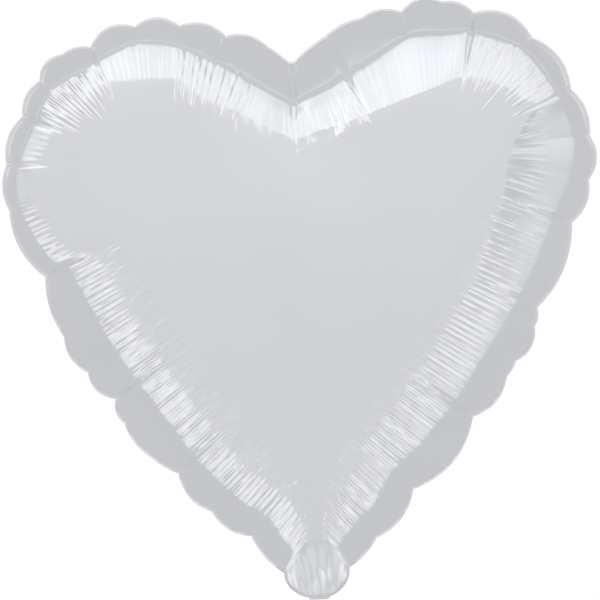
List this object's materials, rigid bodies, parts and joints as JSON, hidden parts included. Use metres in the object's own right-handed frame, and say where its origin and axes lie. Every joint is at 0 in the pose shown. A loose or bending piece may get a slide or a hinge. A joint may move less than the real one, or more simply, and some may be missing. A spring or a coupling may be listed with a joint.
{
  "type": "heart-shaped foil balloon",
  "caption": "Inflated heart-shaped foil balloon in plain silver, with puckered seam, gathered neck, folded inflation tail and film valve.",
  "frame": {"origin": "centre of the inflated balloon's bounding box, with the tail folded up behind", "axes": "+Z from the tip up to the cleft, front towards -Y, +X to the right seen from the front; Y is the thickness"},
  "size_m": [0.4002, 0.1538, 0.4006],
  "materials": {
    "silver_foil": "satin metallised film with fine wrinkles along the seam",
    "sealed_seam": "satin, pressed flat by the heat seal",
    "clear_film": "thin translucent film"
  },
  "bodies": {
    "envelope": {"front_panel": "silver_foil", "back_panel": "silver_foil", "seam_weld": "sealed_seam"},
    "tail": {"tail_front_foil": "silver_foil", "tail_back_foil": "silver_foil", "tail_seam_left": "sealed_seam", "tail_seam_right": "sealed_seam", "valve_sleeve_front": "clear_film", "valve_sleeve_back": "clear_film"},
    "lip_front": {"valve_lip_front": "clear_film"},
    "lip_rear": {"valve_lip_rear": "clear_film"}
  },
  "joints": [
    {"name": "tail_fold", "type": "hinge", "parent": "envelope", "child": "tail", "pos_m": [-0.00175, 0.0012, -0.20026], "axis": [-1, 0, 0], "range_deg": [0, 150]},
    {"name": "lip_front_open", "type": "hinge", "parent": "envelope", "child": "lip_front", "pos_m": [-0.00175, 0, -0.18646], "axis": [1, 0, 0], "range_deg": [0, 12]},
    {"name": "lip_rear_open", "type": "hinge", "parent": "envelope", "child": "lip_rear", "pos_m": [-0.00175, 0, -0.18646], "axis": [1, 0, 0], "range_deg": [-12, 0]}
  ],
  "couplings": [
    {"joint": "lip_rear_open", "follows": "lip_front_open", "ratio": -1}
  ]
}
